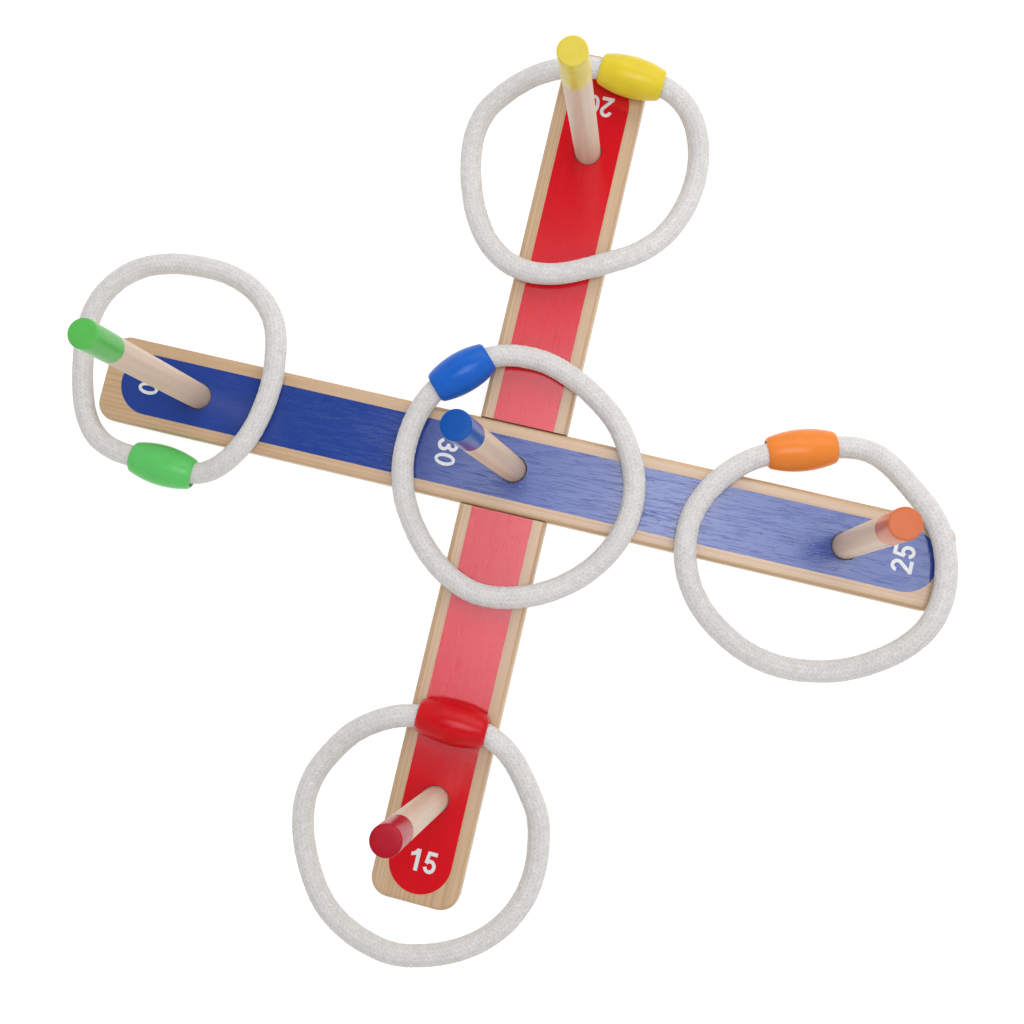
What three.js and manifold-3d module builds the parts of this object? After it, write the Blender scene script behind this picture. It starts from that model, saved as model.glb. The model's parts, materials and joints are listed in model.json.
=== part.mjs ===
// Ring toss set: two boards halved together into a cross, five upright pegs and five rope rings.
// Millimetres, +Z up. The origin is on the floor under the middle of the cross; the blue board
// lies along X and the red board along Y.

import * as THREE from "three";
import { mergeVertices } from "three/addons/utils/BufferGeometryUtils.js";
import Module from "manifold-3d";

const wasm = await Module();
wasm.setup();

// Boards
const BOARD_LENGTH = 500;
const BOARD_WIDTH = 51;
const BOARD_THICKNESS = 16;
const BOARD_CORNER = 11; // radius of the four corners, seen from above
const BOARD_EDGE = 2.5; // rounding along every edge
const CORNER_SEGMENTS = 6;
const EDGE_SEGMENTS = 2;
const LAP_PLAY = 0.35; // gap at each shoulder of the halving joint
const LAP_GAP = 0.3; // gap between the two halved faces
const CUT_PAST = 1; // how far each cut runs past the face that it opens

// Pegs
const PEG_RADIUS = 7.5;
const PEG_EXPOSED = 200; // height above the board
const PEG_CHAMFER = 0.9;
const PEG_SPACING = 191.5; // centre peg to outer peg
const HOLE_DEPTH = 12; // blind hole for each peg
const HOLE_PLAY = 0.5; // radial play of a peg in its hole
const HOLE_END_GAP = 0.6; // below the peg's end
const ROUND_SEGMENTS = 26;

// Rings
const ROPE_RADIUS = 6.3;
const ROPE_SIDES = 10;
const ROPE_STEPS = 84;
const ROPE_END_GAP = 0.6; // between the rope's two ends, in the middle of the bead
const ROPE_STRAIGHT = 9.75; // straight part each side of the bead's middle
const BEAD_RADIUS = 12; // at the belly
const BEAD_MOUTH_RADIUS = 8.6; // at each end
const BEAD_EDGE = 0.5; // rounding of the mouth
const BEAD_BORE = ROPE_RADIUS + 0.6;
const FLARE_RADIUS = 8; // the bore opens to this at each mouth
const FLARE_DEPTH = 12;
const BEAD_STEPS = 6;

const UP = new THREE.Vector3(0, 0, 1);
const LATHE_AXIS = new THREE.Vector3(0, 1, 0);

const WOOD = { color: 0xe3c9a4, roughness: 0.6, metalness: 0 };
const COTTON = { color: 0xe8e4da, roughness: 0.95, metalness: 0 };
const BOARD_PAINT = {
  red: { color: 0xc8202b, roughness: 0.3, metalness: 0 },
  blue: { color: 0x2b3f8f, roughness: 0.3, metalness: 0 },
};
const BEAD_PAINT = {
  green: { color: 0x54b857, roughness: 0.25, metalness: 0 },
  yellow: { color: 0xe6cf2e, roughness: 0.25, metalness: 0 },
  blue: { color: 0x1c5fc4, roughness: 0.25, metalness: 0 },
  orange: { color: 0xef8a34, roughness: 0.25, metalness: 0 },
  red: { color: 0xc3161d, roughness: 0.25, metalness: 0 },
};

// Each peg's place, and the small lean it takes in its loose hole: degrees towards +X and +Y.
const PEGS = [
  { score: 10, x: -PEG_SPACING, y: 0, lean: [-0.6, 1] },
  { score: 15, x: 0, y: -PEG_SPACING, lean: [0.3, 1.6] },
  { score: 20, x: 0, y: PEG_SPACING, lean: [0.1, -2.4] },
  { score: 25, x: PEG_SPACING, y: 0, lean: [0, 0.7] },
  { score: 30, x: 0, y: 0, lean: [-3.3, 0.2] },
];

// Each ring: the middle of its bead, the bead's length, its bearing from +X and its pitch above the
// level, in degrees, which way the rope sets out (+1 along the bearing, -1 against it), and the
// rope's route from there round to the other mouth. A rope rests on the boards where it crosses
// them, and comes down to the floor beside them. The turned beads differ a little in length.
const RINGS = [
  {
    name: "green", bead: [-202.5, -44.5, 12.4], beadLength: 39, bearing: -3.5, pitch: 0, leaves: -1,
    route: [
      [-221.5, -43.3, 12.2], [-233, -42.2, 11.2], [-244, -38.8, 9.2], [-252.6, -32.6, 7.4],
      [-259.3, -23.2, 6.8], [-264.3, -11, 6.7], [-268.3, 4, 6.7], [-270.7, 18, 6.7],
      [-271, 33, 6.7], [-267.5, 46.5, 6.7], [-259.5, 59, 6.7], [-247, 69, 6.7], [-230, 75, 6.7],
      [-211, 77, 6.7], [-194, 76, 6.9], [-177, 70, 8.8], [-163, 59, 13], [-154.5, 46, 18.5],
      [-150, 31, 22.6], [-148.5, 17, 22.9], [-149.5, 2, 22.9], [-152.5, -12, 22.9],
      [-158, -25, 22.4], [-166.5, -35.9, 19.3], [-175.5, -42.3, 14.9], [-184, -44.8, 12.8],
    ],
  },
  {
    name: "yellow", bead: [16, 236.5, 28.5], beadLength: 38, bearing: -4.3, pitch: -4, leaves: -1,
    route: [
      [-2.6, 237.5, 29.5], [-17, 236.2, 28.5], [-32, 232, 24.5], [-45, 225.8, 18.5],
      [-57, 216, 13], [-65.7, 204.6, 9], [-69, 190.5, 7], [-67.5, 173.5, 7], [-61.8, 154.5, 9.5],
      [-54.5, 139.5, 14], [-44, 125.5, 19.3], [-30.5, 116, 22.4], [-16, 113, 22.9],
      [-1, 115, 22.9], [14, 121.3, 22.9], [28, 128.5, 22.7], [42.3, 138, 19.3], [54.3, 152.3, 14],
      [62, 171.2, 9.5], [64.6, 190, 7.4], [63.2, 205, 9.6], [59.8, 215, 13.3], [55, 223, 17.5],
      [49, 228.8, 21.2], [42, 232.8, 24.5], [34.6, 234.9, 26.6],
    ],
  },
  {
    name: "blue", bead: [-40.5, 46.8, 25.5], beadLength: 36.5, bearing: 43.9, pitch: 0, leaves: 1,
    route: [
      [-26.3, 58.9, 25.4], [-15.2, 62.8, 24.6], [3.5, 63.5, 22.9], [22, 58, 22.9], [38, 49.5, 21],
      [51, 39.5, 21], [61, 26.5, 22.9], [68, 12, 22.9], [71, -2, 22.9], [70, -18, 22.9],
      [64.5, -33, 21.8], [55.5, -46.5, 19.5], [43.5, -58, 19.5], [29, -67, 22.3],
      [13, -72.5, 22.9], [-3.5, -73.8, 22.9], [-20.5, -68.3, 22.9], [-35.7, -57.8, 21.7],
      [-48, -44.5, 19.8], [-57, -29, 22.3], [-62, -11, 22.9], [-62.5, 5, 22.9], [-59.6, 20, 24],
      [-53.5, 33.2, 25.2],
    ],
  },
  {
    name: "orange", bead: [156.8, 47.2, 14.3], beadLength: 39.5, bearing: 18.5, pitch: -5, leaves: 1,
    route: [
      [175.3, 53.3, 12.8], [182.5, 54.9, 12.4], [189.8, 55.4, 12.3], [197, 54.3, 12.8],
      [205, 50.8, 14], [213.5, 44.8, 16], [223.5, 36.2, 19.4], [233.5, 26.5, 22.3],
      [241.5, 14, 22.9], [246.5, -2.5, 22.9], [247, -19, 22.9], [243, -34, 21.5],
      [233.5, -47.7, 17.5], [220, -59, 12.5], [205, -67.4, 8.6], [187, -72.5, 6.9],
      [168.3, -73.7, 6.7], [150.2, -70, 7.2], [133, -61.4, 10.5], [119.5, -50.5, 15.5],
      [110, -37, 20.5], [105, -22, 22.8], [104.3, -6, 22.9], [108.3, 7.7, 22.9],
      [116, 20.7, 22.9], [127.3, 32.8, 20.6], [138, 40, 17],
    ],
  },
  {
    name: "red", bead: [0.8, -147, 28.6], beadLength: 40, bearing: -1.6, pitch: 0, leaves: -1,
    route: [
      [-17.5, -147.4, 28.3], [-30, -150.5, 27], [-43, -157.5, 22], [-55, -167.5, 15],
      [-64.5, -181, 10], [-71.2, -195, 7.4], [-73.5, -210.5, 6.7], [-71, -226, 6.7],
      [-65.5, -240, 6.7], [-58.2, -252.5, 6.7], [-49.2, -263.5, 6.7], [-36.5, -272.5, 6.7],
      [-21, -278.5, 6.7], [-4, -280.8, 6.7], [12.5, -277.6, 6.7], [28.5, -271, 6.7],
      [42.8, -261, 6.7], [53.5, -248.5, 6.7], [60.3, -234, 6.7], [63, -218.5, 6.8], [62, -203, 8],
      [58, -187, 11.5], [49.5, -173, 17], [40.2, -161, 22], [34, -155.2, 25.2],
      [27, -150.9, 27.4], [19.5, -148.2, 28.4],
    ],
  },
];

// A solid of the boolean library from a closed three.js geometry.
function toSolid(geometry) {
  const bare = geometry.clone();
  bare.deleteAttribute("normal");
  bare.deleteAttribute("uv");
  const merged = mergeVertices(bare, 1e-4);
  const vertProperties = new Float32Array(merged.attributes.position.array);
  const triVerts = new Uint32Array(merged.index.array);
  return new wasm.Manifold(new wasm.Mesh({ numProp: 3, vertProperties, triVerts }));
}

// A three.js geometry from a solid of the boolean library.
function toGeometry(solid) {
  const mesh = solid.getMesh();
  const geometry = new THREE.BufferGeometry();
  geometry.setAttribute("position", new THREE.BufferAttribute(mesh.vertProperties, 3));
  geometry.setIndex(new THREE.BufferAttribute(mesh.triVerts, 1));
  geometry.computeVertexNormals();
  return geometry;
}

function namedMesh(name, geometry, finish) {
  const mesh = new THREE.Mesh(geometry, new THREE.MeshStandardMaterial(finish));
  mesh.name = name;
  return mesh;
}

// Outline of a board seen from above, its length along X.
function boardOutline() {
  const x = BOARD_LENGTH / 2;
  const y = BOARD_WIDTH / 2;
  const r = BOARD_CORNER;
  const outline = new THREE.Shape();
  outline.moveTo(-x + r, -y);
  outline.lineTo(x - r, -y);
  outline.absarc(x - r, -y + r, r, -Math.PI / 2, 0);
  outline.lineTo(x, y - r);
  outline.absarc(x - r, y - r, r, 0, Math.PI / 2);
  outline.lineTo(-x + r, y);
  outline.absarc(-x + r, y - r, r, Math.PI / 2, Math.PI);
  outline.lineTo(-x, -y + r);
  outline.absarc(-x + r, -y + r, r, Math.PI, 1.5 * Math.PI);
  return outline;
}

// A whole board with rounded edges, along X, standing on z = 0.
function boardBlank() {
  const geometry = new THREE.ExtrudeGeometry(boardOutline(), {
    depth: BOARD_THICKNESS - 2 * BOARD_EDGE,
    bevelThickness: BOARD_EDGE,
    bevelSize: BOARD_EDGE,
    bevelOffset: -BOARD_EDGE,
    bevelSegments: EDGE_SEGMENTS,
    curveSegments: CORNER_SEGMENTS,
    steps: 1,
  });
  geometry.translate(0, 0, BOARD_EDGE);
  return geometry;
}

// The cutter for a half lap: a box across the other board, from z = low to z = high.
function lapCutter(low, high) {
  const across = 2 * BOARD_WIDTH;
  const along = BOARD_WIDTH + 2 * LAP_PLAY;
  const cutter = new THREE.BoxGeometry(along, across, high - low);
  cutter.translate(0, 0, (low + high) / 2);
  return cutter;
}

// The drill for one peg hole, at a distance along the board.
function holeCutter(x) {
  const bottom = BOARD_THICKNESS - HOLE_DEPTH;
  const height = HOLE_DEPTH + CUT_PAST;
  const radius = PEG_RADIUS + HOLE_PLAY;
  const cutter = new THREE.CylinderGeometry(radius, radius, height, ROUND_SEGMENTS);
  cutter.rotateX(Math.PI / 2);
  cutter.translate(x, 0, bottom + height / 2);
  return cutter;
}

// A board along X, cut for the lap between two heights and drilled for three pegs.
function board(name, finish, lapLow, lapHigh) {
  const holes = [-PEG_SPACING, 0, PEG_SPACING].map((x) => toSolid(holeCutter(x)));
  let solid = toSolid(boardBlank()).subtract(toSolid(lapCutter(lapLow, lapHigh)));
  for (const hole of holes) {
    solid = solid.subtract(hole);
  }
  return namedMesh(name, toGeometry(solid), finish);
}

function cross() {
  const group = new THREE.Group();
  const middle = BOARD_THICKNESS / 2;
  const past = BOARD_THICKNESS + CUT_PAST;
  const red = board("board_red", BOARD_PAINT.red, middle - LAP_GAP / 2, past);
  const blue = board("board_blue", BOARD_PAINT.blue, -CUT_PAST, middle + LAP_GAP / 2);
  red.rotation.z = Math.PI / 2;
  group.add(red, blue);
  return group;
}

// A chamfered dowel from its bottom end upwards, turned about Y.
function pegGeometry() {
  const length = HOLE_DEPTH - HOLE_END_GAP + PEG_EXPOSED;
  const inner = PEG_RADIUS - PEG_CHAMFER;
  const profile = [
    new THREE.Vector2(0, 0),
    new THREE.Vector2(inner, 0),
    new THREE.Vector2(PEG_RADIUS, PEG_CHAMFER),
    new THREE.Vector2(PEG_RADIUS, length - PEG_CHAMFER),
    new THREE.Vector2(inner, length),
    new THREE.Vector2(0, length),
  ];
  return new THREE.LatheGeometry(profile, ROUND_SEGMENTS);
}

// A peg leans about the middle of its hole's depth.
function peg({ score, x, y, lean }) {
  const mesh = namedMesh(`peg_${score}`, pegGeometry(), WOOD);
  const [leanX, leanY] = lean.map((angle) => Math.tan(THREE.MathUtils.degToRad(angle)));
  const direction = new THREE.Vector3(leanX, leanY, 1).normalize();
  const holeMiddle = HOLE_DEPTH / 2;
  const below = holeMiddle - HOLE_END_GAP;
  mesh.quaternion.setFromUnitVectors(LATHE_AXIS, direction);
  mesh.position.set(x, y, BOARD_THICKNESS - holeMiddle).addScaledVector(direction, -below);
  return mesh;
}

function pegs() {
  const group = new THREE.Group();
  for (const place of PEGS) {
    group.add(peg(place));
  }
  return group;
}

// A barrel bead bored for the rope, turned about Y and centred on the origin.
function beadGeometry(length) {
  const half = length / 2;
  const rise = BEAD_RADIUS - BEAD_MOUTH_RADIUS;
  const arc = (half * half + rise * rise) / (2 * rise); // radius of the barrel's curve
  const profile = [new THREE.Vector2(FLARE_RADIUS, -half)];
  profile.push(new THREE.Vector2(BEAD_MOUTH_RADIUS - BEAD_EDGE, -half));
  for (let i = 0; i <= BEAD_STEPS; i++) {
    const y = (half - BEAD_EDGE) * (-1 + (2 * i) / BEAD_STEPS);
    profile.push(new THREE.Vector2(Math.sqrt(arc * arc - y * y) - arc + BEAD_RADIUS, y));
  }
  profile.push(new THREE.Vector2(BEAD_MOUTH_RADIUS - BEAD_EDGE, half));
  profile.push(new THREE.Vector2(FLARE_RADIUS, half));
  profile.push(new THREE.Vector2(BEAD_BORE, half - FLARE_DEPTH));
  profile.push(new THREE.Vector2(BEAD_BORE, -half + FLARE_DEPTH));
  profile.push(profile[0].clone());
  return new THREE.LatheGeometry(profile, ROUND_SEGMENTS);
}

function ropeSection() {
  const corners = [];
  for (let i = 0; i < ROPE_SIDES; i++) {
    const angle = (2 * Math.PI * i) / ROPE_SIDES;
    corners.push(new THREE.Vector2(Math.cos(angle), Math.sin(angle)).multiplyScalar(ROPE_RADIUS));
  }
  return new THREE.Shape(corners);
}

// The rope's centre line: out of the bead's middle, round the route and back into the bead.
function ropePath(centre, direction, route) {
  const distances = [ROPE_END_GAP / 2, ROPE_STRAIGHT];
  const out = distances.map((d) => centre.clone().addScaledVector(direction, d));
  const back = distances.map((d) => centre.clone().addScaledVector(direction, -d)).reverse();
  const round = route.map((point) => new THREE.Vector3(...point));
  return new THREE.CatmullRomCurve3([...out, ...round, ...back], false, "centripetal");
}

function ring({ name, bead, beadLength, bearing, pitch, leaves, route }) {
  const group = new THREE.Group();
  const centre = new THREE.Vector3(...bead);
  const [turn, rise] = [bearing, pitch].map(THREE.MathUtils.degToRad);
  const along = new THREE.Vector3(Math.cos(rise), 0, Math.sin(rise));
  along.applyAxisAngle(UP, turn).multiplyScalar(leaves);

  const beadMesh = namedMesh(`ring_${name}_bead`, beadGeometry(beadLength), BEAD_PAINT[name]);
  beadMesh.quaternion.setFromUnitVectors(LATHE_AXIS, along);
  beadMesh.position.copy(centre);

  const extrudePath = ropePath(centre, along, route);
  const options = { steps: ROPE_STEPS, bevelEnabled: false, extrudePath };
  const ropeMesh = new THREE.ExtrudeGeometry(ropeSection(), options);
  group.add(namedMesh(`ring_${name}_rope`, ropeMesh, COTTON), beadMesh);
  return group;
}

function rings() {
  const group = new THREE.Group();
  for (const one of RINGS) {
    group.add(ring(one));
  }
  return group;
}

const ringTossSet = new THREE.Group();
ringTossSet.add(cross(), pegs(), rings());
export default ringTossSet;
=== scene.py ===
"""Ring toss set: a halved wooden cross with five numbered pegs, and five rope rings with barrel beads.
Metres, +Z up. The origin is on the floor under the middle of the cross, the blue board lies along X."""

import json
import math

import bmesh
import bpy
import numpy as np
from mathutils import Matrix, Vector, geometry, noise


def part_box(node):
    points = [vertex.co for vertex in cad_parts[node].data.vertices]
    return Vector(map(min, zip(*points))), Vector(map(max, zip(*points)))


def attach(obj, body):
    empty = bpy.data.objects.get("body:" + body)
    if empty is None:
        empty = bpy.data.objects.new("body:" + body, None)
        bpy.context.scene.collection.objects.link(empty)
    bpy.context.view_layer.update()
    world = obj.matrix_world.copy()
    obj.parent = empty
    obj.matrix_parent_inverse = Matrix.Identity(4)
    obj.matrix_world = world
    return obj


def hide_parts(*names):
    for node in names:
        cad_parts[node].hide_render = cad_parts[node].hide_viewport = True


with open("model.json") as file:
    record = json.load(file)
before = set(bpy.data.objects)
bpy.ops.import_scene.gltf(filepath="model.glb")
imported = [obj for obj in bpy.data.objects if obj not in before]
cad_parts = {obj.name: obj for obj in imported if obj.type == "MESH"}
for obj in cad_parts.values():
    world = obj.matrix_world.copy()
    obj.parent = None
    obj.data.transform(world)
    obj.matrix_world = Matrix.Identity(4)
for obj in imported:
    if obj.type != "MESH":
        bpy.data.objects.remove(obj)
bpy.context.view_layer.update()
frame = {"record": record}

MM = 0.001

# Camera: above the set, a little to one side, looking almost straight down.
CAMERA_PLACE = (0.0843, -0.0597, 0.9432)
CAMERA_TURN = (7.43, 6.06, 13.52)  # degrees about X, Y and Z
CAMERA_LENS = 57.0
CAMERA_SENSOR = 36.0
CAMERA_SHIFT = (0.0504, -0.1153)

# Ropes
ROPE_RADIUS = 6.3 * MM
ROPE_END_GAP = 0.6 * MM
ROPE_STEP = 0.46 * MM  # between cross-sections
ROPE_SIDES = 98
BRAID_COLUMNS = 14  # columns of slanted strands round the rope, each the mirror image of the next
BRAID_PITCH = 2.6 * MM  # along the rope, from one strand to the next
BRAID_SLANT = 0.9  # how many pitches a strand climbs across its column
BRAID_RELIEF = 0.5 * MM
BRAID_LEVEL = 0.75  # the height in the braid, from 0 to 1, that lies at the rope's radius
COLUMN_ROUND = 0.62  # how round a column's back is, where 0 is flat and 1 a half circle
STRAND_ROUND = 0.88
STITCH_HEIGHTS = (0.62, 1.0)  # one strand in a column differs from the next within this range
ROPE_UNEVEN = 0.014  # how much the rope's thickness wanders, as a share of its radius
ROPE_UNEVEN_LENGTH = 14 * MM  # length of rope over which it wanders

# Beads
ROPE_STRAIGHT = 9.75 * MM  # straight part each side of the bead's middle
BEAD_RADIUS = 12 * MM
BEAD_MOUTH_RADIUS = 8.6 * MM
BEAD_EDGE = 1.3 * MM
# The round of the edge at a mouth: how far out and how far back, in multiples of BEAD_EDGE
BEAD_LIP = ((0, 0), (0.38, 0.08), (0.71, 0.29), (0.92, 0.62))
BEAD_STEPS = 24  # along the barrel
BEAD_SIDES = 96
BEAD_BORE = ROPE_RADIUS + 0.6 * MM
FLARE_RADIUS = 7.2 * MM
FLARE_DEPTH = 12 * MM

# Boards
BOARD_CORNER = 11 * MM
BOARD_EDGE = 2.5 * MM
LAP_PLAY = 0.35 * MM
LAP_GAP = 0.3 * MM

# Pegs
PEG_RADIUS = 7.5 * MM
PEG_CHAMFER = 0.9 * MM
PEG_SPACING = 191.5 * MM
PEG_TIP = 40 * MM  # length of the painted end
HOLE_DEPTH = 12 * MM
HOLE_PLAY = 0.5 * MM
PEG_SIDES = 80
PAINT_DEPTH = 0.06 * MM
PAINT_RISE = 0.35 * MM  # length over which the paint's edge rises from the wood
BELOW_PAINT = 0.4 * MM  # rings of points on both sides of the paint's edge keep its shading close
ABOVE_PAINT = 2 * MM

# Stripes and numbers
FILM = 0.10 * MM  # how far the stripe's paint stands above the wood
INK = 0.05 * MM  # how far the number's paint stands above the stripe
SUNK = 0.10 * MM  # how far a film reaches down into what it lies on
FILM_HOLE = 8.05 * MM
DIGIT_HEIGHT = 12.1 * MM
DIGIT_WIDTH = 0.60
DIGIT_ADVANCE = 0.68
DIGIT_STROKE = 0.165

# Each ring: the middle of its bead, its bearing and pitch in degrees, which way the rope sets out,
# the rope's length and its route, all in millimetres.
RINGS = {
    "green": {
        "bead": (-202.5, -44.5, 12.4), "bead_length": 39, "bearing": -3.5, "pitch": 0, "leaves": -1,
        "length": 402,
        "route": [
            (-221.5, -43.3, 12.2), (-233, -42.2, 11.2), (-244, -38.8, 9.2), (-252.6, -32.6, 7.4),
            (-259.3, -23.2, 6.8), (-264.3, -11, 6.7), (-268.3, 4, 6.7), (-270.7, 18, 6.7),
            (-271, 33, 6.7), (-267.5, 46.5, 6.7), (-259.5, 59, 6.7), (-247, 69, 6.7), (-230, 75, 6.7),
            (-211, 77, 6.7), (-194, 76, 6.9), (-177, 70, 8.8), (-163, 59, 13), (-154.5, 46, 18.5),
            (-150, 31, 22.6), (-148.5, 17, 22.9), (-149.5, 2, 22.9), (-152.5, -12, 22.9),
            (-158, -25, 22.4), (-166.5, -35.9, 19.3), (-175.5, -42.3, 14.9), (-184, -44.8, 12.8),
        ],
    },
    "yellow": {
        "bead": (16, 236.5, 28.5), "bead_length": 38, "bearing": -4.3, "pitch": -4, "leaves": -1,
        "length": 421,
        "route": [
            (-2.6, 237.5, 29.5), (-17, 236.2, 28.5), (-32, 232, 24.5), (-45, 225.8, 18.5),
            (-57, 216, 13), (-65.7, 204.6, 9), (-69, 190.5, 7), (-67.5, 173.5, 7), (-61.8, 154.5, 9.5),
            (-54.5, 139.5, 14), (-44, 125.5, 19.3), (-30.5, 116, 22.4), (-16, 113, 22.9),
            (-1, 115, 22.9), (14, 121.3, 22.9), (28, 128.5, 22.7), (42.3, 138, 19.3), (54.3, 152.3, 14),
            (62, 171.2, 9.5), (64.6, 190, 7.4), (63.2, 205, 9.6), (59.8, 215, 13.3), (55, 223, 17.5),
            (49, 228.8, 21.2), (42, 232.8, 24.5), (34.6, 234.9, 26.6),
        ],
    },
    "blue": {
        "bead": (-40.5, 46.8, 25.5), "bead_length": 36.5, "bearing": 43.9, "pitch": 0, "leaves": 1,
        "length": 423,
        "route": [
            (-26.3, 58.9, 25.4), (-15.2, 62.8, 24.6), (3.5, 63.5, 22.9), (22, 58, 22.9), (38, 49.5, 21),
            (51, 39.5, 21), (61, 26.5, 22.9), (68, 12, 22.9), (71, -2, 22.9), (70, -18, 22.9),
            (64.5, -33, 21.8), (55.5, -46.5, 19.5), (43.5, -58, 19.5), (29, -67, 22.3),
            (13, -72.5, 22.9), (-3.5, -73.8, 22.9), (-20.5, -68.3, 22.9), (-35.7, -57.8, 21.7),
            (-48, -44.5, 19.8), (-57, -29, 22.3), (-62, -11, 22.9), (-62.5, 5, 22.9), (-59.6, 20, 24),
            (-53.5, 33.2, 25.2),
        ],
    },
    "orange": {
        "bead": (156.8, 47.2, 14.3), "bead_length": 39.5, "bearing": 18.5, "pitch": -5, "leaves": 1,
        "length": 429,
        "route": [
            (175.3, 53.3, 12.8), (182.5, 54.9, 12.4), (189.8, 55.4, 12.3), (197, 54.3, 12.8),
            (205, 50.8, 14), (213.5, 44.8, 16), (223.5, 36.2, 19.4), (233.5, 26.5, 22.3),
            (241.5, 14, 22.9), (246.5, -2.5, 22.9), (247, -19, 22.9), (243, -34, 21.5),
            (233.5, -47.7, 17.5), (220, -59, 12.5), (205, -67.4, 8.6), (187, -72.5, 6.9),
            (168.3, -73.7, 6.7), (150.2, -70, 7.2), (133, -61.4, 10.5), (119.5, -50.5, 15.5),
            (110, -37, 20.5), (105, -22, 22.8), (104.3, -6, 22.9), (108.3, 7.7, 22.9),
            (116, 20.7, 22.9), (127.3, 32.8, 20.6), (138, 40, 17),
        ],
    },
    "red": {
        "bead": (0.8, -147, 28.6), "bead_length": 40, "bearing": -1.6, "pitch": 0, "leaves": -1,
        "length": 432,
        "route": [
            (-17.5, -147.4, 28.3), (-30, -150.5, 27), (-43, -157.5, 22), (-55, -167.5, 15),
            (-64.5, -181, 10), (-71.2, -195, 7.4), (-73.5, -210.5, 6.7), (-71, -226, 6.7),
            (-65.5, -240, 6.7), (-58.2, -252.5, 6.7), (-49.2, -263.5, 6.7), (-36.5, -272.5, 6.7),
            (-21, -278.5, 6.7), (-4, -280.8, 6.7), (12.5, -277.6, 6.7), (28.5, -271, 6.7),
            (42.8, -261, 6.7), (53.5, -248.5, 6.7), (60.3, -234, 6.7), (63, -218.5, 6.8), (62, -203, 8),
            (58, -187, 11.5), (49.5, -173, 17), (40.2, -161, 22), (34, -155.2, 25.2),
            (27, -150.9, 27.4), (19.5, -148.2, 28.4),
        ],
    },
}

# Wood, in linear colour: between the growth rings and where they are darkest
PINE = ((0.56, 0.385, 0.222), (0.475, 0.300, 0.155))
DOWEL = ((0.62, 0.490, 0.385), (0.58, 0.440, 0.330))

# Paint, in linear colour
BEAD_COLOURS = {
    "green": (0.110, 0.53, 0.120),
    "yellow": (0.69, 0.535, 0.030),
    "blue": (0.008, 0.110, 0.50),
    "orange": (0.78, 0.225, 0.034),
    "red": (0.54, 0.004, 0.008),
}
STRIPE_COLOURS = {"red": (0.64, 0.007, 0.013), "blue": (0.022, 0.056, 0.270)}
TIP_COLOURS = {
    "green": (0.095, 0.42, 0.080),
    "yellow": (0.63, 0.505, 0.070),
    "blue": (0.006, 0.072, 0.31),
    "orange": (0.56, 0.140, 0.050),
    "red": (0.36, 0.008, 0.018),
}
STRIPE_RIPPLE = 0.028 * MM
STRIPE_ROUGHNESS = 0.11
BEAD_SPECULAR = 0.20
TIP_SPECULAR = 0.10
PEG_PAINT = {10: "green", 15: "red", 20: "yellow", 25: "orange", 30: "blue"}


# --- Camera ---------------------------------------------------------------------------------


def make_camera():
    data = bpy.data.cameras.new("camera")
    data.lens = CAMERA_LENS
    data.sensor_width = CAMERA_SENSOR
    data.shift_x, data.shift_y = CAMERA_SHIFT
    data.clip_start, data.clip_end = 0.02, 20
    camera = bpy.data.objects.new("camera", data)
    camera.location = CAMERA_PLACE
    camera.rotation_euler = [math.radians(angle) for angle in CAMERA_TURN]
    bpy.context.collection.objects.link(camera)
    bpy.context.scene.camera = camera


# --- Material helpers -----------------------------------------------------------------------


class Nodes:
    """A material's node tree, with short calls to add nodes and link them."""

    def __init__(self, name):
        self.material = bpy.data.materials.new(name)
        self.material.use_nodes = True
        self.tree = self.material.node_tree
        self.shader = self.tree.nodes["Principled BSDF"]

    def add(self, kind, **settings):
        node = self.tree.nodes.new(kind)
        for key, value in settings.items():
            setattr(node, key, value)
        return node

    def link(self, source, target):
        self.tree.links.new(source, target)

    def place(self, scale, location=(0, 0, 0)):
        """The piece's own coordinates, scaled."""
        coordinates = self.add("ShaderNodeTexCoord")
        mapping = self.add("ShaderNodeMapping")
        mapping.inputs["Scale"].default_value = scale
        mapping.inputs["Location"].default_value = location
        self.link(coordinates.outputs["Object"], mapping.inputs["Vector"])
        return mapping.outputs["Vector"]

    def noise(self, vector, scale, detail=4, roughness=0.55):
        node = self.add("ShaderNodeTexNoise")
        node.inputs["Scale"].default_value = scale
        node.inputs["Detail"].default_value = detail
        node.inputs["Roughness"].default_value = roughness
        self.link(vector, node.inputs["Vector"])
        return node.outputs["Fac"]

    def ramp(self, value, stops):
        node = self.add("ShaderNodeValToRGB")
        elements = node.color_ramp.elements
        while len(elements) < len(stops):
            elements.new(0.5)
        for element, (position, colour) in zip(elements, stops):
            element.position = position
            element.color = (*colour, 1)
        self.link(value, node.inputs["Fac"])
        return node.outputs["Color"]

    def multiply(self, first, second, amount):
        node = self.add("ShaderNodeMix", data_type="RGBA", blend_type="MULTIPLY")
        node.inputs["Factor"].default_value = amount
        self.link(first, node.inputs[6])
        self.link(second, node.inputs[7])
        return node.outputs[2]

    def spread(self, value, low, high):
        node = self.add("ShaderNodeMapRange")
        node.inputs["To Min"].default_value = low
        node.inputs["To Max"].default_value = high
        self.link(value, node.inputs["Value"])
        return node.outputs["Result"]

    def bump(self, height, distance, strength=1.0, under=None):
        node = self.add("ShaderNodeBump")
        node.inputs["Distance"].default_value = distance
        node.inputs["Strength"].default_value = strength
        self.link(height, node.inputs["Height"])
        if under is not None:
            self.link(under, node.inputs["Normal"])
        return node.outputs["Normal"]

    def finish(self, colour=None, roughness=None, normal=None):
        for name, value in (("Base Color", colour), ("Roughness", roughness), ("Normal", normal)):
            if value is not None:
                self.link(value, self.shader.inputs[name])
        return self.material


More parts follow.
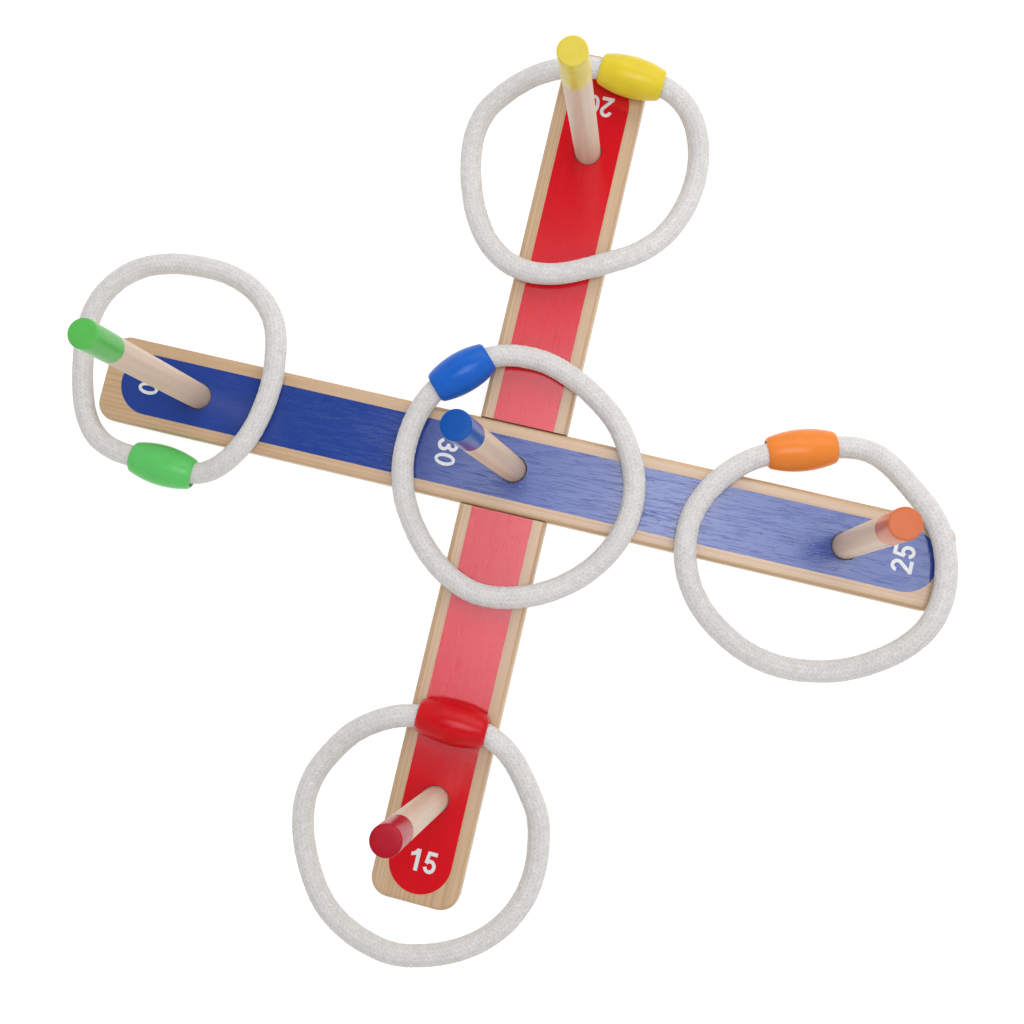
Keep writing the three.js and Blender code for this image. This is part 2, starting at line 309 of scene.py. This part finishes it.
def wood(
    name, axis, pale, dark, pith, ring_scale=150, seed=0.0, roughness=0.33, pore=0.5, specular=0.75
):
    """Sawn softwood with its growth rings running along the X or Z axis of the piece."""
    n = Nodes(name)
    along = 0.04
    stretch = (along, 1, 1) if axis == "X" else (1, 1, along)
    shifted = n.place(stretch, (seed, *pith) if axis == "X" else (*pith, seed))
    rings = n.add("ShaderNodeTexWave", wave_type="RINGS", rings_direction=axis, wave_profile="SAW")
    rings.inputs["Scale"].default_value = ring_scale
    rings.inputs["Distortion"].default_value = 2.6
    rings.inputs["Detail"].default_value = 3
    rings.inputs["Detail Scale"].default_value = 0.6
    n.link(shifted, rings.inputs["Vector"])
    body = n.ramp(rings.outputs["Fac"], [(0.0, pale), (0.60, pale), (0.94, dark), (1.0, pale)])
    fibre = n.noise(shifted, 2600, 3)
    streak = n.noise(shifted, 200, 4)
    speck = n.noise(n.place((0.35, 1, 1) if axis == "X" else (1, 1, 0.35)), 1500, 2)
    fibres = n.ramp(fibre, [(0.28, (0.84, 0.80, 0.74)), (0.58, (1, 1, 1))])
    streaks = n.ramp(streak, [(0.34, (0.88, 0.82, 0.74)), (0.62, (1, 1, 1))])
    specks = n.ramp(speck, [(0.24, (0.78, 0.68, 0.56)), (0.36, (1, 1, 1))])
    colour = n.multiply(n.multiply(n.multiply(body, fibres, pore), streaks, 0.8), specks, 0.7)
    n.shader.inputs["Specular IOR Level"].default_value = specular
    sheen = n.spread(fibre, roughness - 0.06, roughness + 0.10)
    return n.finish(colour, sheen, n.bump(fibre, 0.03 * MM, 0.5))


def gloss_paint(name, colour):
    """Paint over wood: the grain under it ripples the gloss along the piece's X axis."""
    n = Nodes(name)
    grain = n.noise(n.place((0.3, 1, 1)), 1000, 3, 0.6)
    vein = n.noise(n.place((0.05, 1, 1), (0.3, 0.2, 0.1)), 1200, 3, 0.7)
    broad = n.noise(n.place((1, 1, 1)), 28, 3)
    darker = tuple(0.92 * c for c in colour)
    body = n.ramp(broad, [(0.30, darker), (0.70, colour)])
    fleck = n.ramp(grain, [(0.30, (0.80, 0.80, 0.80)), (0.50, (1, 1, 1))])
    tint = n.multiply(body, fleck, 0.5)
    groove = n.ramp(vein, [(0.34, (0, 0, 0)), (0.46, (1, 1, 1))])
    normal = n.bump(grain, STRIPE_RIPPLE, 1.0, n.bump(groove, 0.8 * STRIPE_RIPPLE))
    return n.finish(tint, n.spread(grain, STRIPE_ROUGHNESS + 0.04, STRIPE_ROUGHNESS - 0.03), normal)


def enamel(name, colour, specular):
    """Thick gloss paint on turned wood, with the faint unevenness of a dipped coat."""
    n = Nodes(name)
    place = n.place((1, 1, 1))
    wave = n.noise(place, 120, 2)
    fine = n.noise(place, 1100, 3)
    darker = tuple(0.92 * c for c in colour)
    body = n.ramp(wave, [(0.30, darker), (0.65, colour)])
    n.shader.inputs["Specular IOR Level"].default_value = specular
    normal = n.bump(fine, 0.05 * MM, 0.8, n.bump(wave, 0.10 * MM, 0.4))
    return n.finish(body, n.spread(fine, 0.20, 0.29), normal)


def cotton(name):
    """Braided cotton: painted shade darkens it between the strands, with fine yarn across them."""
    n = Nodes(name)
    depth = n.add("ShaderNodeAttribute", attribute_name="braid").outputs["Fac"]
    # Painted shade: the braid's height darkens the colour in the hollows between strands and lightens it
    # on their backs
    between, flank, back = (0.45, 0.437, 0.412), (0.655, 0.638, 0.608), (0.74, 0.722, 0.69)
    body = n.ramp(depth, [(0.0, between), (0.45, flank), (1.0, back)])
    place = n.place((1, 1, 1))
    yarn = n.noise(place, 1700, 4, 0.7)
    patch = n.noise(place, 320, 3, 0.6)
    yarns = n.ramp(yarn, [(0.32, (0.80, 0.80, 0.79)), (0.62, (1, 1, 1))])
    patches = n.ramp(patch, [(0.34, (0.90, 0.895, 0.88)), (0.62, (1, 1, 1))])
    n.shader.inputs["Sheen Weight"].default_value = 0.12
    n.shader.inputs["Sheen Roughness"].default_value = 0.6
    colour = n.multiply(n.multiply(body, yarns, 0.7), patches, 0.9)
    return n.finish(colour, n.spread(yarn, 0.86, 0.98), n.bump(yarn, 0.22 * MM, 0.7))


def ink(name):
    n = Nodes(name)
    grain = n.noise(n.place((1, 1, 1)), 1400, 3)
    body = n.ramp(grain, [(0.3, (0.60, 0.60, 0.59)), (0.6, (0.70, 0.70, 0.69))])
    return n.finish(body, n.spread(grain, 0.42, 0.34), n.bump(grain, 0.02 * MM, 0.5))


# --- Mesh helpers ---------------------------------------------------------------------------


def new_object(name, vertices, faces, materials, sharp=40):
    mesh = bpy.data.meshes.new(name)
    mesh.from_pydata([tuple(v) for v in vertices], [], faces)
    for material in materials:
        mesh.materials.append(material)
    mesh.update()
    piece = bpy.data.objects.new(name, mesh)
    bpy.context.collection.objects.link(piece)
    tidy(piece, sharp)
    return piece


def tidy(piece, sharp=40):
    """Faces out, shaded smooth except over edges sharper than an angle in degrees."""
    work = bmesh.new()
    work.from_mesh(piece.data)
    bmesh.ops.recalc_face_normals(work, faces=work.faces)
    work.to_mesh(piece.data)
    work.free()
    piece.data.polygons.foreach_set("use_smooth", [True] * len(piece.data.polygons))
    piece.data.set_sharp_from_angle(angle=math.radians(sharp))
    piece.data.update()


def keep_flat(piece):
    """Level faces shaded flat, so that the rounded edges beside them don't bend their shading."""
    work = bmesh.new()
    work.from_mesh(piece.data)
    for edge in work.edges:
        level = [abs(face.normal.z) > 0.9999 for face in edge.link_faces]
        if any(level) and not all(level):
            edge.smooth = False
    work.to_mesh(piece.data)
    work.free()


def lathe(profile, sides):
    """Vertices and faces of a profile of (radius, height) turned about Z. A radius of 0 is a pole."""
    vertices, rings, faces = [], [], []
    for radius, height in profile:
        if radius == 0:
            rings.append([len(vertices)] * sides)
            vertices.append((0, 0, height))
            continue
        rings.append(list(range(len(vertices), len(vertices) + sides)))
        for i in range(sides):
            angle = 2 * math.pi * i / sides
            vertices.append((radius * math.cos(angle), radius * math.sin(angle), height))
    for low, high in zip(rings, rings[1:]):
        for i in range(sides):
            j = (i + 1) % sides
            corners = [low[i], low[j], high[j], high[i]]
            faces.append([c for k, c in enumerate(corners) if c not in corners[:k]])
    return vertices, faces


def rounded_corner(centre, radius, start, stop, steps):
    """Points of an arc in a lathe profile, angles in degrees."""
    points = []
    for i in range(steps + 1):
        angle = math.radians(start + (stop - start) * i / steps)
        points.append((centre[0] + radius * math.cos(angle), centre[1] + radius * math.sin(angle)))
    return points


def boolean(piece, cutter):
    """Takes the cutter's shape out of the piece, and deletes the cutter."""
    modifier = piece.modifiers.new("cut", "BOOLEAN")
    modifier.operation = "DIFFERENCE"
    modifier.solver = "EXACT"
    modifier.object = cutter
    graph = bpy.context.evaluated_depsgraph_get()
    mesh = bpy.data.meshes.new_from_object(piece.evaluated_get(graph))
    piece.modifiers.remove(modifier)
    old = piece.data
    piece.data = mesh
    bpy.data.meshes.remove(old)
    cut_mesh = cutter.data
    bpy.data.objects.remove(cutter)
    bpy.data.meshes.remove(cut_mesh)


def region(adds, cuts=()):
    """Triangles of the area covered by any polygon in adds and by none in cuts."""
    vertices, faces = [], []
    for polygon in [*adds, *cuts]:
        faces.append(list(range(len(vertices), len(vertices) + len(polygon))))
        vertices.extend(Vector(p) for p in polygon)
    points, _, triangles, _, _, owners = geometry.delaunay_2d_cdt(vertices, [], faces, 0, 1e-7)
    kept = []
    for triangle, owner in zip(triangles, owners):
        covered = any(i < len(adds) for i in owner)
        if covered and not any(i >= len(adds) for i in owner):
            kept.append(list(triangle))
    return points, kept


def plate(points, triangles, low, high):
    """A closed flat solid over a region, from one height to another."""
    used = sorted({i for triangle in triangles for i in triangle})
    index = {old: new for new, old in enumerate(used)}
    flat = [points[i] for i in used]
    count = len(flat)
    vertices = [(p.x, p.y, high) for p in flat] + [(p.x, p.y, low) for p in flat]
    top = [[index[i] for i in triangle] for triangle in triangles]
    faces = top + [[i + count for i in reversed(triangle)] for triangle in top]
    edges = {(t[i], t[(i + 1) % 3]) for t in top for i in range(3)}
    for a, b in edges:
        if (b, a) not in edges:
            faces.append([b, a, a + count, b + count])
    return vertices, faces


def circle(x, y, radius, sides=64):
    turn = [2 * math.pi * i / sides for i in range(sides)]
    return [(x + radius * math.cos(a), y + radius * math.sin(a)) for a in turn]


def rectangle(x0, y0, x1, y1):
    return [(x0, y0), (x1, y0), (x1, y1), (x0, y1)]


# --- Rope rings -----------------------------------------------------------------------------


def bead_axis(ring):
    """The way the rope leaves the bead."""
    turn, rise = math.radians(ring["bearing"]), math.radians(ring["pitch"])
    level = math.cos(rise)
    return ring["leaves"] * Vector((math.cos(turn) * level, math.sin(turn) * level, math.sin(rise)))


def control_points(ring):
    """The rope's way round: straight out of the bead, along the route and straight back in."""
    centre, axis = Vector(ring["bead"]) * MM, bead_axis(ring)
    distances = (ROPE_END_GAP / 2, ROPE_STRAIGHT)
    out = [centre + axis * d for d in distances]
    back = [centre - axis * d for d in reversed(distances)]
    return out + [Vector(p) * MM for p in ring["route"]] + back


def smooth_curve(points, per_span=24):
    """A centripetal Catmull-Rom curve through the points."""
    ends = [2 * points[0] - points[1], *points, 2 * points[-1] - points[-2]]
    curve = []
    for k in range(1, len(ends) - 2):
        p = ends[k - 1 : k + 3]
        t = [0.0]
        for a, b in zip(p, p[1:]):
            t.append(t[-1] + math.sqrt((b - a).length))
        for i in range(per_span):
            s = t[1] + (t[2] - t[1]) * i / per_span
            a = [p[j].lerp(p[j + 1], (s - t[j]) / (t[j + 1] - t[j])) for j in range(3)]
            b = [a[j].lerp(a[j + 1], (s - t[j]) / (t[j + 2] - t[j])) for j in range(2)]
            curve.append(b[0].lerp(b[1], (s - t[1]) / (t[2] - t[1])))
    curve.append(points[-1].copy())
    return curve


def even_steps(curve, step):
    """The curve again, as points a constant step apart, and how far along it each one lies."""
    line = np.array(curve)
    lengths = np.concatenate([[0], np.cumsum(np.linalg.norm(np.diff(line, axis=0), axis=1))])
    count = round(lengths[-1] / step) + 1
    where = np.linspace(0, lengths[-1], count)
    even = np.stack([np.interp(where, lengths, line[:, i]) for i in range(3)], axis=1)
    return even, where


def transported_frames(line):
    """Two side vectors at each point that turn as little as they can."""
    tangents = np.gradient(line, axis=0)
    tangents /= np.linalg.norm(tangents, axis=1)[:, None]
    side = np.cross(tangents[0], (0, 0, 1))
    sides = []
    for tangent in tangents:
        side = side - tangent * side.dot(tangent)
        side /= np.linalg.norm(side)
        sides.append(side)
    sides = np.array(sides)
    return sides, np.cross(tangents, sides)


def braid_height(turn, along, seed):
    """Height of the braid, 0 between strands and 1 on their backs. turn goes from 0 to 1 round the
    rope, along runs in metres."""
    column = turn * BRAID_COLUMNS
    across = column % 1.0
    lean = np.where(np.floor(column) % 2 == 0, 1.0, -1.0)
    place = along / BRAID_PITCH + lean * BRAID_SLANT * (across - 0.5) + 1
    strand = place % 1.0
    back = np.sqrt(np.maximum(0, 1 - (2 * across - 1) ** 2 * COLUMN_ROUND))
    round_strand = np.sqrt(np.maximum(0, 1 - (2 * strand - 1) ** 2 * STRAND_ROUND))
    counts = (int(place.max()) + 1, BRAID_COLUMNS)
    stitches = np.random.default_rng(seed).uniform(*STITCH_HEIGHTS, counts)
    columns = np.broadcast_to(column, place.shape).astype(int)
    fullness = stitches[np.floor(place).astype(int), columns]
    return np.clip(back * round_strand * fullness, 0, 1)


def rope(name, ring, material, seed):
    """A braided tube along the ring's route. Gives back the piece and its centreline."""
    line, along = even_steps(smooth_curve(control_points(ring)), ROPE_STEP)
    sides, ups = transported_frames(line)
    turns = np.arange(ROPE_SIDES) / ROPE_SIDES
    height = braid_height(turns[None, :], along[:, None], seed)
    uneven = [noise.noise(Vector((a / ROPE_UNEVEN_LENGTH, 3.7 * seed, 0))) for a in along]
    radius = ROPE_RADIUS * (1 + ROPE_UNEVEN * np.array(uneven))[:, None]
    radius = radius + (height - BRAID_LEVEL) * BRAID_RELIEF
    angle = 2 * math.pi * turns
    cosines, sines = np.cos(angle)[None, :, None], np.sin(angle)[None, :, None]
    out = cosines * sides[:, None, :] + sines * ups[:, None, :]
    vertices = (line[:, None, :] + radius[:, :, None] * out).reshape(-1, 3)
    faces = []
    for i in range(len(line) - 1):
        for j in range(ROPE_SIDES):
            k = (j + 1) % ROPE_SIDES
            low, high = i * ROPE_SIDES, (i + 1) * ROPE_SIDES
            faces.append((low + j, low + k, high + k, high + j))
    faces.append(tuple(range(ROPE_SIDES))[::-1])
    last = (len(line) - 1) * ROPE_SIDES
    faces.append(tuple(range(last, last + ROPE_SIDES)))
    piece = new_object(name, vertices, faces, [material], sharp=80)
    # The braid's height, kept on the points, which the cotton material turns into painted shade between
    # the strands
    depth = piece.data.attributes.new("braid", "FLOAT", "POINT")
    depth.data.foreach_set("value", height.reshape(-1).astype(np.float32))
    return piece, [tuple(p) for p in line]


def bead(name, ring, material):
    """A barrel bored through along the rope, its bore flared at both mouths."""
    half = ring["bead_length"] * MM / 2
    rise = BEAD_RADIUS - BEAD_MOUTH_RADIUS
    bulge = (half**2 + rise**2) / (2 * rise)  # radius of the barrel's long curve
    lip = BEAD_MOUTH_RADIUS - BEAD_EDGE
    edge = [(lip + out * BEAD_EDGE, half - back * BEAD_EDGE) for out, back in BEAD_LIP]
    profile = [(BEAD_BORE, -half + FLARE_DEPTH), (FLARE_RADIUS, -half)]
    profile += [(radius, -height) for radius, height in edge]
    for i in range(BEAD_STEPS + 1):
        height = (half - BEAD_EDGE) * (-1 + 2 * i / BEAD_STEPS)
        profile.append((math.sqrt(bulge**2 - height**2) - bulge + BEAD_RADIUS, height))
    profile += edge[::-1]
    profile += [(FLARE_RADIUS, half), (BEAD_BORE, half - FLARE_DEPTH), profile[0]]
    vertices, faces = lathe(profile, BEAD_SIDES)
    centre = Vector(ring["bead"]) * MM
    turn = Vector((0, 0, 1)).rotation_difference(bead_axis(ring))
    piece = new_object(name, [centre + turn @ Vector(v) for v in vertices], faces, [material])
    weld(piece)
    tidy(piece)
    return piece


def weld(piece):
    """Makes one point of those that share a place."""
    work = bmesh.new()
    work.from_mesh(piece.data)
    bmesh.ops.remove_doubles(work, verts=work.verts, dist=1e-7)
    work.to_mesh(piece.data)
    work.free()


def make_rings():
    rope_material = cotton("cotton_rope")
    for seed, (colour, ring) in enumerate(RINGS.items()):
        body, rope_node, bead_node = f"ring_{colour}", f"ring_{colour}_rope", f"ring_{colour}_bead"
        paint = enamel(f"enamel_{colour}", BEAD_COLOURS[colour], BEAD_SPECULAR)
        barrel = bead(f"bead_{colour}", ring, paint)
        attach(barrel, body)
        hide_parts(bead_node)
        cord, path = rope(f"rope_{colour}", ring, rope_material, seed)
        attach(cord, body)
        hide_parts(rope_node)


# --- Boards ---------------------------------------------------------------------------------


def board_outline(half_length, half_width, inset, steps=10):
    """A rectangle with round corners, drawn in by inset."""
    radius = BOARD_CORNER - inset
    points = []
    for quarter, (sx, sy) in enumerate(((1, 1), (-1, 1), (-1, -1), (1, -1))):
        x = sx * (half_length - BOARD_CORNER)
        y = sy * (half_width - BOARD_CORNER)
        for i in range(steps + 1):
            angle = math.pi / 2 * (quarter + i / steps)
            points.append((x + radius * math.cos(angle), y + radius * math.sin(angle)))
    return points


def board(name, node, lap_low, lap_high, material):
    """A board along its own X, with rounded edges, its half of the lap and three peg holes."""
    low, high = (Vector(corner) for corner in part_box(node))
    size = high - low
    half_length, half_width = max(size.x, size.y) / 2, min(size.x, size.y) / 2
    thick, steps = size.z, 6
    levels = []
    for i in range(steps + 1):
        angle = math.pi / 2 * (1 - i / steps)
        levels.append((BOARD_EDGE * (1 - math.cos(angle)), BOARD_EDGE * (1 - math.sin(angle))))
    levels += [(inset, thick - height) for inset, height in reversed(levels)]
    vertices, faces = [], []
    for inset, height in levels:
        outline = board_outline(half_length, half_width, inset)
        vertices.extend((x, y, height) for x, y in outline)
    count = len(outline)
    for level in range(len(levels) - 1):
        for i in range(count):
            j = (i + 1) % count
            a, b = level * count, (level + 1) * count
            faces.append([a + i, a + j, b + j, b + i])
    faces.append(list(range(count))[::-1])
    faces.append([(len(levels) - 1) * count + i for i in range(count)])
    piece = new_object(name, vertices, faces, [material])
    half_lap = half_width + LAP_PLAY
    points, triangles = region([rectangle(-half_lap, -2 * half_width, half_lap, 2 * half_width)])
    boolean(piece, new_object("cutter", *plate(points, triangles, lap_low, lap_high), []))
    for x in (-PEG_SPACING, 0, PEG_SPACING):
        points, triangles = region([circle(x, 0, PEG_RADIUS + HOLE_PLAY)])
        drill = plate(points, triangles, thick - HOLE_DEPTH, thick + MM)
        boolean(piece, new_object("cutter", *drill, []))
    tidy(piece, 30)
    keep_flat(piece)
    return piece


def stadium(low, high, half_width, steps=28):
    """Outline of a stripe along X with round ends."""
    points = []
    for centre, start in ((high - half_width, -0.5), (low + half_width, 0.5)):
        for i in range(steps + 1):
            angle = math.pi * (start + i / steps)
            points.append((centre + half_width * math.cos(angle), half_width * math.sin(angle)))
    return points


# Each stripe: its two ends along its board and half its width, in metres.
STRIPES = {
    "blue": (-239 * MM, 242.6 * MM, 17.9 * MM),
    "red": (-244.3 * MM, 237.5 * MM, 17.9 * MM),
}


def make_boards():
    """Both boards with their stripes. Gives back the height of the stripes' paint."""
    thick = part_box("board_red")[1][2]
    half_width = (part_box("board_blue")[1][1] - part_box("board_blue")[0][1]) / 2
    middle = thick / 2
    laps = {"red": (middle - LAP_GAP / 2, thick + MM), "blue": (-MM, middle + LAP_GAP / 2)}
    bodies = {"red": "lower_board", "blue": "upper_board"}
    turns = {"red": math.pi / 2, "blue": 0}
    piths = {"red": (0.021, -0.034), "blue": (-0.016, -0.041)}
    for seed, colour in enumerate(("red", "blue")):
        lacquered = wood(f"pine_{colour}", "X", *PINE, piths[colour], seed=4.1 * seed)
        piece = board(f"pine_board_{colour}", f"board_{colour}", *laps[colour], lacquered)
        piece.rotation_euler.z = turns[colour]
        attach(piece, bodies[colour])
        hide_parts(f"board_{colour}")
        low, high, half = STRIPES[colour]
        holes = [circle(x, 0, FILM_HOLE) for x in (-PEG_SPACING, 0, PEG_SPACING)]
        if colour == "red":
            edge = half_width + LAP_PLAY
            holes.append(rectangle(-edge, -half_width, edge, half_width))
        points, triangles = region([stadium(low, high, half)], holes)
        paint = gloss_paint(f"stripe_{colour}", STRIPE_COLOURS[colour])
        solid = plate(points, triangles, thick - SUNK, thick + FILM)
        film = new_object(f"stripe_{colour}", *solid, [paint])
        film.rotation_euler.z = turns[colour]
        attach(film, bodies[colour])
    return thick + FILM


# --- Numbers --------------------------------------------------------------------------------


def arc(cx, cy, rx, ry, start, stop, steps=20):
    points = []
    for i in range(steps + 1):
        angle = math.radians(start + (stop - start) * i / steps)
        points.append(Vector((cx + rx * math.cos(angle), cy + ry * math.sin(angle))))
    return points


def stroke(points):
    """Quads that follow a line with a pen of one width."""
    sides = []
    for i, point in enumerate(points):
        before, after = points[max(i - 1, 0)], points[min(i + 1, len(points) - 1)]
        normal = (after - before).normalized().orthogonal() * (DIGIT_STROKE / 2)
        sides.append((point + normal, point - normal))
    return [[a, b, d, c] for (a, b), (c, d) in zip(sides, sides[1:])]


def digit_polygons(digit):
    """A bold upright digit, one unit high and about 0.6 wide, as shapes to add and shapes to cut."""
    if digit == "0":
        return [arc(0.30, 0.5, 0.30, 0.5, 0, 350, 48)], [arc(0.30, 0.5, 0.135, 0.345, 0, 350, 48)]
    if digit == "1":
        flag = [(0.30, 0.72), (0.30, 1.0), (0.255, 1.0), (0.20, 0.90), (0.12, 0.83), (0.02, 0.79)]
        flag += [(0.02, 0.63), (0.15, 0.67)]
        return [rectangle(0.265, 0, 0.45, 1.0), flag], []
    if digit == "2":
        bowl = arc(0.30, 0.705, 0.207, 0.213, 176, -36)
        tail = [Vector((0.36, 0.44)), Vector((0.20, 0.255)), Vector((0.10, 0.10))]
        return stroke(bowl + tail) + [rectangle(0.01, 0, 0.59, 0.17)], []
    if digit == "3":
        upper = stroke(arc(0.285, 0.735, 0.185, 0.183, 168, -92))
        lower = stroke(arc(0.285, 0.300, 0.213, 0.218, 92, -170))
        return upper + lower + [rectangle(0.21, 0.457, 0.30, 0.60)], []
    upright = [(0.11, 1.0), (0.03, 0.47), (0.19, 0.44), (0.25, 1.0)]
    bowl = stroke(arc(0.295, 0.325, 0.213, 0.243, 150, -168))
    return bowl + [upright, rectangle(0.11, 0.83, 0.56, 1.0)], []


# Each number: its middle on the boards in millimetres, the turn of its upright in degrees and its
# board's body.
NUMBERS = {
    "10": ((-221.9, 1.9), -90, "upper_board"),
    "15": ((1.5, -225.8), 0, "lower_board"),
    "20": ((0.8, 219.7), 180, "lower_board"),
    "25": ((223.4, 0.2), 90, "upper_board"),
    "30": ((-39.8, 0.6), -90, "upper_board"),
}


def make_numbers(top):
    white = ink("number_white")
    for text, ((x, y), turn, body) in NUMBERS.items():
        adds, cuts = [], []
        middle = Vector(((DIGIT_ADVANCE + DIGIT_WIDTH) / 2, 0.5))
        for i, digit in enumerate(text):
            shift = Vector((i * DIGIT_ADVANCE, 0)) - middle
            for kind, polygons in zip((adds, cuts), digit_polygons(digit)):
                kind.extend([(Vector(p) + shift) * DIGIT_HEIGHT for p in shape] for shape in polygons)
        points, triangles = region(adds, cuts)
        solid = plate(points, triangles, top - SUNK / 2, top + INK)
        piece = new_object(f"number_{text}", *solid, [white])
        piece.location = (x * MM, y * MM, 0)
        piece.rotation_euler.z = math.radians(turn)
        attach(piece, body)


# --- Pegs -----------------------------------------------------------------------------------


def joint_axis(name):
    for joint in frame["record"]["behaviour"]["joints"]:
        if joint["name"] == name:
            return Vector(joint["axis"])


def peg(score, wood_material, paint_material):
    """A dowel along its own Z, its top end painted."""
    axis = joint_axis(f"peg_{score}_pull")
    low, high = (Vector(corner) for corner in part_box(f"peg_{score}"))
    tilt = math.sqrt(1 - axis.z**2)
    length = (high.z - low.z - 2 * PEG_RADIUS * tilt) / axis.z + 2 * PEG_CHAMFER * tilt
    half = length / 2
    edge = half - PEG_TIP
    inner, outer = PEG_RADIUS - PEG_CHAMFER, PEG_RADIUS + PAINT_DEPTH
    profile = [(0, -half), (inner, -half), (PEG_RADIUS, -half + PEG_CHAMFER)]
    profile += [(PEG_RADIUS, edge - BELOW_PAINT), (PEG_RADIUS, edge)]
    profile += [(outer, edge + PAINT_RISE), (outer, edge + ABOVE_PAINT)]
    profile += rounded_corner((outer - PEG_CHAMFER, half - PEG_CHAMFER), PEG_CHAMFER, 0, 90, 5)
    profile += [(0.5 * inner, half), (0, half)]
    vertices, faces = lathe(profile, PEG_SIDES)
    piece = new_object(f"dowel_{score}", vertices, faces, [wood_material, paint_material])
    for polygon in piece.data.polygons:
        polygon.material_index = int(polygon.center.z > edge)
    piece.location = (low + high) / 2
    piece.rotation_mode = "QUATERNION"
    piece.rotation_quaternion = Vector((0, 0, 1)).rotation_difference(axis)
    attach(piece, f"peg_{score}")
    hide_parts(f"peg_{score}")


def make_pegs():
    for seed, (score, colour) in enumerate(PEG_PAINT.items()):
        pith = (0.006 + 0.004 * seed, -0.011 + 0.003 * seed)
        bare = wood(
            f"dowel_wood_{score}", "Z", *DOWEL, pith, ring_scale=60, seed=2.3 * seed,
            roughness=0.45, pore=0.4, specular=0.4,
        )
        tip = enamel(f"tip_{colour}", TIP_COLOURS[colour], TIP_SPECULAR)
        peg(score, bare, tip)


# --- Room -----------------------------------------------------------------------------------

# A soft box overhead, brightest near its middle and fading at its edges. Each list gives places
# from 0 to 1 across the box and how bright it is there.
KEY_PLACE = (0.21, 0.08, 1.40)
KEY_SIZE = (0.92, 0.80)
KEY_POWER = 23.5
KEY_TINT = (0.92, 0.95, 1.08)
KEY_ACROSS = [
    (0.0, 0.42), (0.135, 0.43), (0.27, 0.66), (0.39, 1.0), (0.53, 0.68), (0.69, 0.62), (1.0, 0.51),
]
KEY_ALONG = [
    (0.0, 0.26), (0.07, 0.52), (0.13, 0.75), (0.40, 0.86), (0.50, 1.0), (0.60, 0.82), (0.75, 0.52),
    (0.84, 0.25), (1.0, 0.03),
]
# A broad weak panel beyond the 20 peg, so that end of the set is the brighter one.
FILL_PLACE = (0.35, 1.15, 1.00)
FILL_SIZE = (1.6, 1.0)
FILL_POWER = 8.5
# The rest of the studio: pale walls all round, dark overhead behind the soft box.
WALLS = 0.76
CEILING = 0.06
WALL_TOP = 0.80  # sine of the elevation where the walls start to darken
CEILING_START = 0.93
FLOOR_SIZE = 8
FLOOR_WHITE = 0.40
FLOOR_GLOW = 0.78


def brightness(tree, source, stops):
    """Grey levels over a value from 0 to 1."""
    ramp = tree.nodes.new("ShaderNodeValToRGB")
    elements = ramp.color_ramp.elements
    while len(elements) < len(stops):
        elements.new(0.5)
    for element, (position, level) in zip(elements, stops):
        element.position = position
        element.color = (level, level, level, 1)
    tree.links.new(source, ramp.inputs["Fac"])
    return ramp.outputs["Color"]


def area_light(name, place, size, power):
    """A rectangular light facing down, out of the camera's sight."""
    data = bpy.data.lights.new(name, "AREA")
    data.shape = "RECTANGLE"
    data.size, data.size_y = size
    data.energy = power
    light = bpy.data.objects.new(name, data)
    light.location = place
    light.visible_camera = False
    bpy.context.collection.objects.link(light)
    return light


def make_room():
    surface = Nodes("floor_white")
    settings = {
        "Base Color": (FLOOR_WHITE, FLOOR_WHITE, FLOOR_WHITE, 1), "Roughness": 0.9,
        "Specular IOR Level": 0.1, "Emission Color": (1, 1, 1, 1), "Emission Strength": FLOOR_GLOW,
    }
    for name, value in settings.items():
        surface.shader.inputs[name].default_value = value
    half = FLOOR_SIZE / 2
    corners = [(x, y, 0) for x, y in rectangle(-half, -half, half, half)]
    floor = new_object("floor", corners, [[0, 1, 2, 3]], [surface.material])

    key = area_light("key", KEY_PLACE, KEY_SIZE, KEY_POWER)
    key.data.color = KEY_TINT
    key.data.use_nodes = True
    tree = key.data.node_tree
    where = tree.nodes.new("ShaderNodeSeparateXYZ")
    geometry_node = tree.nodes.new("ShaderNodeNewGeometry")
    tree.links.new(geometry_node.outputs["Parametric"], where.inputs["Vector"])
    product = tree.nodes.new("ShaderNodeMath")
    product.operation = "MULTIPLY"
    tree.links.new(brightness(tree, where.outputs["X"], KEY_ACROSS), product.inputs[0])
    tree.links.new(brightness(tree, where.outputs["Y"], KEY_ALONG), product.inputs[1])
    tree.links.new(product.outputs["Value"], tree.nodes["Emission"].inputs["Strength"])

    fill = area_light("fill", FILL_PLACE, FILL_SIZE, FILL_POWER)
    fill.rotation_euler = (-Vector(FILL_PLACE)).to_track_quat("-Z", "Y").to_euler()

    world = bpy.data.worlds.new("studio")
    bpy.context.scene.world = world
    world.use_nodes = True
    tree = world.node_tree
    direction = tree.nodes.new("ShaderNodeSeparateXYZ")
    tree.links.new(tree.nodes.new("ShaderNodeTexCoord").outputs["Generated"], direction.inputs["Vector"])
    fade = tree.nodes.new("ShaderNodeMapRange")
    limits = {"From Min": WALL_TOP, "From Max": CEILING_START, "To Min": WALLS, "To Max": CEILING}
    for name, value in limits.items():
        fade.inputs[name].default_value = value
    tree.links.new(direction.outputs["Z"], fade.inputs["Value"])
    background = tree.nodes["Background"]
    background.inputs["Color"].default_value = (1.0, 0.99, 0.97, 1)
    tree.links.new(fade.outputs["Result"], background.inputs["Strength"])
    bpy.context.scene.view_settings.view_transform = "Standard"


make_camera()
make_rings()
make_numbers(make_boards())
make_pegs()
make_room()
